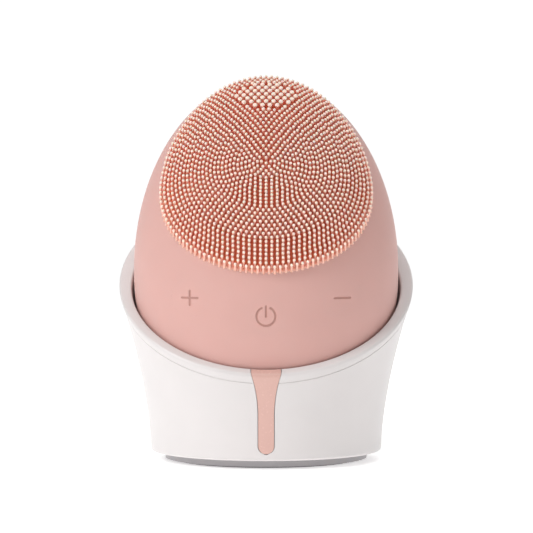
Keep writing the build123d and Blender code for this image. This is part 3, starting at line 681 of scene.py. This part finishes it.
class BRUSH_OT_keys(bpy.types.Operator):
    """Three key discs with pressed-in signs"""
    bl_idname = "brush.keys"
    bl_label = "Keys"

    def execute(self, context):
        size = context.scene.brush_skin
        angle = ring_angles(176)
        radii = np.linspace(size.key_radius / 60, size.key_radius, 60)
        half = size.stroke / 2
        for name, (x, z) in KEYS.items():
            def layer(radius, sink):
                px, pz = radius * np.cos(angle), radius * np.sin(angle)
                y = front_at(x + px, z + pz)
                away = sign_distance(name, px, pz)
                y = y + size.sign_depth * (1 - smooth_step(half - 0.12, half + 0.12, away)) + sink
                return np.stack([x + px, y, z + pz], -1)

            rings = [layer(r, 0.0) for r in radii]
            back = float(front_at(abs(x) + size.key_radius, z)) + 1.6
            edge = rings[-1].copy()
            edge[:, 1] = back
            centre = np.array([[x, float(front_at(x, z)) + size.sign_depth, z]])
            verts, faces = lathe(rings + [edge], close_low=False)
            verts = np.vstack([verts, centre])
            faces += [((i + 1) % len(angle), i, len(verts) - 1) for i in range(len(angle))]
            key = new_object(f"{name}_key_disc", verts, faces)
            away = sign_distance(name, verts[:, 0] - x, verts[:, 2] - z)
            # Painted shade: the sign attribute paints the grooves darker on top of their real depth.
            tone = key.data.attributes.new("sign", "FLOAT", "POINT")
            depth = 1 - smooth_step(half - 0.1, half + 0.15, away)
            tone.data.foreach_set("value", depth.astype(np.float32))
            sharpen(key, 50)
            smooth_as_egg(key, away > half + 0.25)
            dress(key, f"{name}_button", "pink_silicone", MATERIALS["pink_silicone"], f"{name}_key")
        return {"FINISHED"}


class BRUSH_OT_pad_root(bpy.types.Operator):
    """Root sheet of the bristle pad, let into the skin"""
    bl_idname = "brush.pad_root"
    bl_label = "Pad root"

    def execute(self, context):
        angle = ring_angles(256)
        margin = 0.1 / PAD_HALF_WIDTH
        shares = np.linspace(0.02, 1 + margin, 60)
        top = [on_slope(*pad_outline(angle, s)) for s in shares]
        rise = [0.10] * (len(top) - 2) + [0.07, 0.0]
        upper = [ring + lift * DRAW for ring, lift in zip(top, rise)]
        lower = [ring - 0.5 * DRAW for ring in top[::-1]]
        sheet = new_object("bristle_root", *lathe(upper + lower, close_low=True, close_high=True))
        height = sheet.data.attributes.new("height", "FLOAT", "POINT")
        rim = np.concatenate([shares, shares[::-1]])
        # Painted shade: the sheet takes the darkest root colour for the shade between the bristles; its
        # outer edge is painted lighter, where fewer bristles shade it.
        tone = np.repeat(0.66 * smooth_step(0.975, 1.0, rim), len(angle))
        height.data.foreach_set("value", np.append(tone, (0.0, 0.0)).astype(np.float32))
        dress(sheet, "handset", "bristle_silicone", MATERIALS["bristle_silicone"], "bristle_pad")
        return {"FINISHED"}


# Radius and height of each ring of a bristle, as shares of its head's radius and its length.
BRISTLE_PROFILE = ((1.2, -0.06), (0.84, 0.12), (0.80, 0.70), (1.0, 0.84), (0.86, 0.94), (0.45, 0.99))


def bristle_shape(sides=7):
    """One bristle, 1 mm long and 1 mm in radius: flared root, slim column, rounded head."""
    angle = ring_angles(sides)
    rings = [
        np.stack([wide * np.cos(angle), wide * np.sin(angle), np.full(sides, level)], -1)
        for wide, level in BRISTLE_PROFILE
    ]
    verts, faces = lathe(rings, close_low=False)
    verts[-1, 2] = 1.0
    faces.append(tuple(range(sides))[::-1])
    shape = new_object("bristle_unit", verts, faces)
    # The height attribute carries the painted shade at the root and the painted highlight at the head.
    height = shape.data.attributes.new("height", "FLOAT", "POINT")
    height.data.foreach_set("value", np.clip(verts[:, 2], 0.15, 1).astype(np.float32))
    return shape


# Painted light: how much paler the shafts of the outer rings are painted, as light reaches them from the
# side.
EDGE_PAINTED_LIGHT = (0.70, 0.45, 0.0)


def crown_level(across, up):
    """Below 1 inside the cluster of stout bristles near the crest."""
    return np.hypot((across - CROWN[0]) / CROWN_HALF[0], (up - CROWN[1]) / CROWN_HALF[1])


def bristle_rows(size):
    """Places of the bristles, with their painted edge light: rings of the pad's outline, left and right
    alike.
    """
    spots = []
    fine = np.linspace(-np.pi / 2, np.pi / 2, 2000)
    for ring in range(size.rings):
        share = 1 - ring / (size.rings + 0.3)
        u, v = pad_outline(fine, share)
        run = np.concatenate([[0], np.cumsum(np.hypot(np.diff(u), np.diff(v)))])
        columns = 1 <= ring <= 7 or 15 <= ring <= 22
        start = 0.0 if columns else 0.5 * ((ring + 1) % 2)
        finish = 0.5 * (ring % 2)
        count = max(1, round(run[-1] / size.pitch - start - finish))
        places = (np.arange(count + 1) + start) * run[-1] / (count + start + finish)
        across, up = np.interp(places, run, u), np.interp(places, run, v)
        for a, b in zip(across, up):
            if ring and crown_level(a, b) < 1.0:
                continue
            for side in ((1,) if abs(a) < 1e-3 else (1, -1)):
                spots.append((side * a, b, EDGE_PAINTED_LIGHT[min(ring, 2)]))
    spots.append((0.0, PAD_LEVEL, 0.0))
    for row in range(-4, 5):
        for column in range(-6, 7):
            a = (column + 0.5 * (row % 2)) * size.crown_pitch
            b = CROWN[1] + row * size.crown_pitch * 0.8
            if crown_level(a, b) < 0.94:
                spots.append((a, b, 0.0))
    return np.array(spots)


def bristle_tree(unit, material):
    """Geometry nodes: a bristle on every point, leaning along its own draw direction."""
    tree = bpy.data.node_groups.new("bristle_field", "GeometryNodeTree")
    face = tree.interface
    face.new_socket("Geometry", in_out="INPUT", socket_type="NodeSocketGeometry")
    face.new_socket("Length", in_out="INPUT", socket_type="NodeSocketFloat")
    face.new_socket("Radius", in_out="INPUT", socket_type="NodeSocketFloat")
    face.new_socket("Geometry", in_out="OUTPUT", socket_type="NodeSocketGeometry")
    entry = add_node(tree, "NodeGroupInput")
    girth = add_node(tree, "GeometryNodeInputNamedAttribute", {"data_type": "FLOAT"}, {"Name": "girth"})
    reach = add_node(tree, "GeometryNodeInputNamedAttribute", {"data_type": "FLOAT"}, {"Name": "reach"})
    draw = add_node(tree, "GeometryNodeInputNamedAttribute", {"data_type": "FLOAT_VECTOR"}, {"Name": "draw"})
    radius = add_node(tree, "ShaderNodeMath", {"operation": "MULTIPLY"},
                      {0: girth.outputs["Attribute"], 1: entry.outputs["Radius"]}).outputs[0]
    length = add_node(tree, "ShaderNodeMath", {"operation": "MULTIPLY"},
                      {0: reach.outputs["Attribute"], 1: entry.outputs["Length"]}).outputs[0]
    scale = add_node(tree, "ShaderNodeCombineXYZ", None, {"X": radius, "Y": radius, "Z": length})
    turn = add_node(tree, "FunctionNodeAlignRotationToVector", {"axis": "Z"},
                    {"Vector": draw.outputs["Attribute"]})
    shape = add_node(tree, "GeometryNodeObjectInfo", None, {"Object": unit})
    placed = add_node(tree, "GeometryNodeInstanceOnPoints", None,
                      {"Points": entry.outputs["Geometry"], "Instance": shape.outputs["Geometry"],
                       "Rotation": turn.outputs["Rotation"], "Scale": scale.outputs["Vector"]})
    real = add_node(tree, "GeometryNodeRealizeInstances", None, {"Geometry": placed.outputs["Instances"]})
    dyed = add_node(tree, "GeometryNodeSetMaterial", None,
                    {"Geometry": real.outputs["Geometry"], "Material": material})
    add_node(tree, "NodeGroupOutput", None, {"Geometry": dyed.outputs["Geometry"]})
    return tree


class BRUSH_OT_bristles(bpy.types.Operator):
    """Field of moulded bristles on the slope"""
    bl_idname = "brush.bristles"
    bl_label = "Bristles"

    def execute(self, context):
        size = context.scene.brush_bristles
        spots = bristle_rows(size)
        girths = 1 + size.crown * (1 - smooth_step(0.92, 1.12, crown_level(spots[:, 0], spots[:, 1])))
        reaches = 1 - size.crest_trim * smooth_step(60, 84, spots[:, 1])
        roots = on_slope(spots[:, 0], spots[:, 1])
        mesh = bpy.data.meshes.new("bristles")
        mesh.from_pydata((roots * MM).tolist(), [], [])
        # The edge attribute carries the painted light on the outer rings' shafts.
        for name, values in (("girth", girths), ("reach", reaches), ("edge", spots[:, 2])):
            mesh.attributes.new(name, "FLOAT", "POINT").data.foreach_set("value", values.astype(np.float32))
        draws = np.tile(DRAW, (len(roots), 1)).astype(np.float32)
        mesh.attributes.new("draw", "FLOAT_VECTOR", "POINT").data.foreach_set("vector", draws.ravel())
        field = bpy.data.objects.new("bristles", mesh)
        context.scene.collection.objects.link(field)
        unit = bristle_shape()
        modifier = field.modifiers.new("bristle_field", "NODES")
        modifier.node_group = bristle_tree(unit, MATERIALS["bristle_silicone"])
        sockets = {item.name: item.identifier for item in modifier.node_group.interface.items_tree
                   if item.item_type == "SOCKET" and item.in_out == "INPUT"}
        modifier[sockets["Length"]] = size.length
        modifier[sockets["Radius"]] = size.radius
        evaluated(field)
        bpy.data.objects.remove(unit)
        field.data.polygons.foreach_set("use_smooth", np.ones(len(field.data.polygons), bool))
        dress(field, "handset", "bristle_silicone", MATERIALS["bristle_silicone"], "bristle_pad")
        return {"FINISHED"}


# ----------------------------------------------------------------- cradle pieces
def inlay_rows(rim_round):
    """Rows of the inlay from its round end, up the wall and over the rim: share, inset, width."""
    centre = np.array([-np.pi / 2])
    end = INLAY_END + INLAY_HALF_WIDTH
    turn = np.linspace(0.12, np.pi / 2, 14)
    levels = [(end - INLAY_HALF_WIDTH * math.cos(a), INLAY_HALF_WIDTH * math.sin(a)) for a in turn]
    top = float(wall_ring(centre, rim_round)[0, 2])
    levels += [(z, float(inlay_half_width(z))) for z in np.linspace(end, top, 36)[1:]]
    rows = []
    for z, width in levels:
        share = solve(lambda s: -cradle_section(s, centre)[:, 2], -z, 0.0, 1.0, 1)[0]
        rows.append((share, 0.0, width))
    for a in np.linspace(0, np.pi / 2, 7)[1:]:
        drop = rim_round * (1 - math.sin(a))
        point = wall_ring(centre, drop)
        share = solve(lambda s: below_rim(cradle_section(s, centre)), drop, 0.0, 1.0, 1)[0]
        rows.append((share, rim_round * (1 - math.cos(a)), float(inlay_half_width(point[0, 2]))))
    return rows


def inlay_mesh(name, rim_round, grow=0.0, proud=0.0, columns=13):
    """Thin strip that follows the cradle's front wall and turns over the rim."""
    rows = inlay_rows(rim_round)
    outer, inner = [], []
    inward = np.array([0.0, math.cos(RIM_TILT), math.sin(RIM_TILT)])
    down = np.array([0.0, math.sin(RIM_TILT), -math.cos(RIM_TILT)])

    def on_wall(share, inset, width):
        x = np.linspace(-width, width, columns)
        across = BASE_RADIUS + (RIM_HALF_WIDTH - BASE_RADIUS) * share**FLARE - inset
        return cradle_section(share, -np.pi / 2 + np.arcsin(x / across), inset)

    depth = INLAY_DEPTH + grow
    for number, (share, inset, width) in enumerate(rows):
        wide = width + grow
        base = on_wall(share, inset, wide)
        back = on_wall(share, inset + depth, wide)
        tip = max(0.0, (number - (len(rows) - 7)) / 6)
        turned = -np.array([0.0, 1.0, 0.0]) * (1 - tip) - down * tip
        outer.append(base + turned * proud)
        inner.append(back + down * depth * tip)
    last = on_wall(*rows[-1][:2], rows[-1][2] + grow)
    room = bowl_section(bowl_rise(np.array([-np.pi / 2]), 0.0), np.array([-np.pi / 2]))[0]
    span = float((room - last[columns // 2]) @ inward) - 0.5 + grow
    for t in np.linspace(0, 1, 5)[1:]:
        outer.append(last + inward * span * t - down * proud)
        step = max(span * t, depth - rows[-1][1])
        inner.append(last + inward * step + down * depth)
    outer[0][:, 2] -= grow
    inner[0][:, 2] -= grow
    count = len(outer)
    total = count * columns
    faces = []
    for r in range(count - 1):
        for c in range(columns - 1):
            a = r * columns + c
            faces.append((a, a + 1, a + columns + 1, a + columns))
            faces.append((a + total, a + columns + total, a + columns + 1 + total, a + 1 + total))
        a, b = r * columns, (r + 1) * columns
        faces.append((a, b, b + total, a + total))
        a, b = a + columns - 1, b + columns - 1
        faces.append((a, a + total, b + total, b))
    for c in range(columns - 1):
        faces.append((c, c + total, c + 1 + total, c + 1))
        t = (count - 1) * columns + c
        faces.append((t, t + 1, t + 1 + total, t + total))
    return new_object(name, np.concatenate(outer + inner), faces)


class BRUSH_OT_cradle_shell(bpy.types.Operator):
    """Outer shell of the cradle, open at the inlay and at the inlet"""
    bl_idname = "brush.cradle_shell"
    bl_label = "Cradle shell"

    def execute(self, context):
        size = context.scene.brush_cradle
        angle = ring_angles(size.columns)
        drop = COLLAR_HEIGHT + size.parting
        top = solve(lambda s: below_rim(cradle_section(s, angle)), drop, 0.0, 1.0, len(angle))
        rings = []
        for a in np.linspace(0, np.pi / 2, 7):
            ring = cradle_section(0.0 * top, angle, size.base_round * (1 - math.sin(a)))
            ring[:, 2] += size.base_round * (1 - math.cos(a))
            rings.append(ring)
        start = size.base_round / (RIM_LEVEL - BASE_LEVEL)
        for t in np.linspace(start * 1.5, 1, 60):
            rings.append(cradle_section(t * top, angle))
        rings.append(cradle_section(top, angle, 0.12) + [0, 0, 0.1])
        rings += [cradle_section(t * top, angle, CRADLE_WALL) for t in np.linspace(1.0, 0.0, 30)]
        shell = new_object("cradle_shell", *lathe(rings, loop=True))
        seat = [bowl_section(np.full(len(angle), r), angle, CUP_WALL + 0.1) for r in np.linspace(0, 1.7, 30)]
        cut(shell, new_object("cup_seat", *lathe(seat)))
        cut(shell, inlay_mesh("inlay_recess", size.rim_round, size.inlay_gap, 1.0))
        cut(shell, self.inlet_slot())
        sharpen(shell, 40)
        dress(shell, "cradle", "white_plastic", MATERIALS["white_plastic"], "outer_shell")
        return {"FINISHED"}

    def inlet_slot(self):
        """Round-ended hole in the back for the inlet."""
        low, high = (np.array(corner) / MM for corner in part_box("usb_socket"))
        middle, half = (low + high) / 2, (high - low) / 2 + 0.1
        turn = np.linspace(-np.pi / 2, np.pi / 2, 15)
        right = [(half[0] - half[2] + half[2] * math.cos(a), half[2] * math.sin(a)) for a in turn]
        outline = right + [(-w, -z) for w, z in right]
        rings = [np.array([(w, y, middle[2] + z) for w, z in outline]) for y in (20.0, 50.0)]
        return new_object("inlet_slot", *lathe(rings))


class BRUSH_OT_cup(bpy.types.Operator):
    """Inner cup with the collar that makes the tilted rim"""
    bl_idname = "brush.cup"
    bl_label = "Cup"

    def execute(self, context):
        size = context.scene.brush_cradle
        angle = ring_angles(size.columns)
        rings = [wall_ring(angle, COLLAR_HEIGHT, 0.1), wall_ring(angle, COLLAR_HEIGHT - 0.1)]
        rings += [wall_ring(angle, drop) for drop in np.linspace(COLLAR_HEIGHT - 0.2, size.rim_round, 5)]
        for a in np.linspace(0, np.pi / 2, 9)[1:]:
            drop, inset = size.rim_round * (1 - math.sin(a)), size.rim_round * (1 - math.cos(a))
            rings.append(wall_ring(angle, drop, inset))
        edge = size.inner_round
        for a in np.linspace(0, np.pi / 2, 7):
            grow, drop = edge * (1 - math.sin(a)), edge * (1 - math.cos(a))
            rings.append(bowl_section(bowl_rise(angle, drop, grow), angle, grow))
        rise = bowl_rise(angle, edge)
        rings += [bowl_section(rise * t**1.3, angle) for t in np.linspace(0.98, 0.0, 44)]
        verts, faces = lathe(rings, close_low=False)
        rise = bowl_rise(angle, COLLAR_HEIGHT, CUP_WALL)
        under = [bowl_section(rise * t**1.3, angle, CUP_WALL) for t in np.linspace(0.0, 1.0, 26)]
        low_verts, low_faces = lathe(under, close_high=False)
        start = len(verts)
        faces += [tuple(start + i for i in face) for face in low_faces]
        faces += ring_faces(start + (len(under) - 1) * len(angle), 0, len(angle))
        cup = new_object("cradle_cup", np.vstack([verts, low_verts]), faces)
        cut(cup, inlay_mesh("collar_recess", size.rim_round, size.inlay_gap, 1.0))
        sharpen(cup, 40)
        dress(cup, "cradle", "white_plastic", MATERIALS["white_plastic"], "inner_cup")
        return {"FINISHED"}


class BRUSH_OT_inlay(bpy.types.Operator):
    """Pink strip let into the cradle's front and over its rim"""
    bl_idname = "brush.inlay"
    bl_label = "Inlay"

    def execute(self, context):
        strip = inlay_mesh("inlay", context.scene.brush_cradle.rim_round)
        sharpen(strip, 40)
        dress(strip, "cradle", "pink_plastic", MATERIALS["pink_plastic"], "inlay_strip")
        return {"FINISHED"}


class BRUSH_OT_inner_finishes(bpy.types.Operator):
    """Finishes of every piece kept from the frame"""
    bl_idname = "brush.inner_finishes"
    bl_label = "Inner finishes"

    def execute(self, context):
        for entry in frame["record"]["subparts"]:
            node = frame["nodes"][entry["node"]]
            node.data.materials.clear()
            node.data.materials.append(MATERIALS[entry["material_slot"]])
        return {"FINISHED"}


FLOOR_HALF = 600.0
LOOK_AT = Vector((0, 0, 0.055))
CAMERA_AIM = Vector((0.0001, 0, 0.0525))
# Name, place, edge and power of each soft light: metres and watts.
LIGHTS = (
    ("key_light", (-0.90, -0.62, 0.92), 0.5, 8.1),
    ("top_light", (0.0, -0.32, 1.15), 0.9, 3.9),
    ("back_light", (0.30, 0.80, 1.0), 0.8, 4.0),
)


class BRUSH_OT_stage(bpy.types.Operator):
    """Floor, soft light and camera"""
    bl_idname = "brush.stage"
    bl_label = "Stage"

    def execute(self, context):
        size = context.scene.brush_stage
        scene = context.scene
        corners = [(x * FLOOR_HALF, y * FLOOR_HALF, 0) for x, y in ((-1, -1), (1, -1), (1, 1), (-1, 1))]
        floor = new_object("floor", corners, [(0, 1, 2, 3)])
        # Lit white acrylic: keeps the floor as white as the sky behind it, with a faint shadow.
        table = finish_material("opal_acrylic_table", linear("#FBFBFB"), 0.5, 2.0, 0.02,
                                **{"Emission Color": (1, 1, 1, 1), "Emission Strength": 0.46})
        floor.data.materials.append(table)
        scene.view_settings.view_transform = "Standard"
        scene.world = self.studio_sky()
        for name, place, edge, power in LIGHTS:
            light = bpy.data.lights.new(name, "AREA")
            light.shape, light.size, light.energy = "SQUARE", edge, power
            lamp = bpy.data.objects.new(name, light)
            lamp.location = place
            lamp.rotation_euler = (LOOK_AT - Vector(place)).to_track_quat("-Z", "Y").to_euler()
            scene.collection.objects.link(lamp)
        camera = bpy.data.objects.new("camera", bpy.data.cameras.new("camera"))
        toward = Vector((0, -math.cos(size.elevation), math.sin(size.elevation)))
        camera.location = CAMERA_AIM + size.distance * toward
        camera.rotation_euler = (CAMERA_AIM - camera.location).to_track_quat("-Z", "Y").to_euler()
        camera.data.lens = camera.data.sensor_width * size.distance / size.frame_width
        camera.data.clip_end = 10
        scene.collection.objects.link(camera)
        scene.camera = camera
        return {"FINISHED"}

    def studio_sky(self):
        """White all round up to eye level, dimmer overhead."""
        world = bpy.data.worlds.new("studio")
        world.use_nodes = True
        tree = world.node_tree
        tree.nodes.clear()
        place = add_node(tree, "ShaderNodeTexCoord").outputs["Generated"]
        height = add_node(tree, "ShaderNodeSeparateXYZ", None, {"Vector": place}).outputs["Z"]
        level = add_node(tree, "ShaderNodeMapRange", None,
                         {"Value": height, "From Min": 0.09, "From Max": 0.16,
                          "To Min": 1.02, "To Max": 0.25})
        sky = add_node(tree, "ShaderNodeBackground", None,
                       {"Color": (1, 1, 1, 1), "Strength": level.outputs["Result"]})
        add_node(tree, "ShaderNodeOutputWorld", None, {"Surface": sky.outputs["Background"]})
        return world


class BRUSH_PT_panel(bpy.types.Panel):
    """Lists the pieces of the brush"""
    bl_label = "Facial Cleansing Brush"
    bl_idname = "BRUSH_PT_panel"
    bl_space_type = "VIEW_3D"
    bl_region_type = "UI"
    bl_category = "Brush"

    def draw(self, context):
        for operator in OPERATORS:
            self.layout.operator(operator.bl_idname)


GROUPS = {
    "brush_colours": BRUSH_PG_colours,
    "brush_skin": BRUSH_PG_skin,
    "brush_bristles": BRUSH_PG_bristles,
    "brush_cradle": BRUSH_PG_cradle,
    "brush_stage": BRUSH_PG_stage,
}
OPERATORS = (
    BRUSH_OT_materials,
    BRUSH_OT_skin,
    BRUSH_OT_keys,
    BRUSH_OT_pad_root,
    BRUSH_OT_bristles,
    BRUSH_OT_cradle_shell,
    BRUSH_OT_cup,
    BRUSH_OT_inlay,
    BRUSH_OT_inner_finishes,
    BRUSH_OT_stage,
)


def register():
    for name, group in GROUPS.items():
        bpy.utils.register_class(group)
        setattr(bpy.types.Scene, name, bpy.props.PointerProperty(type=group))
    for operator in OPERATORS:
        bpy.utils.register_class(operator)
    bpy.utils.register_class(BRUSH_PT_panel)


def unregister():
    bpy.utils.unregister_class(BRUSH_PT_panel)
    for operator in reversed(OPERATORS):
        bpy.utils.unregister_class(operator)
    for name, group in GROUPS.items():
        delattr(bpy.types.Scene, name)
        bpy.utils.unregister_class(group)


def main():
    register()
    for operator in OPERATORS:
        getattr(bpy.ops.brush, operator.bl_idname.split(".")[1])()


if __name__ == "__main__":
    main()
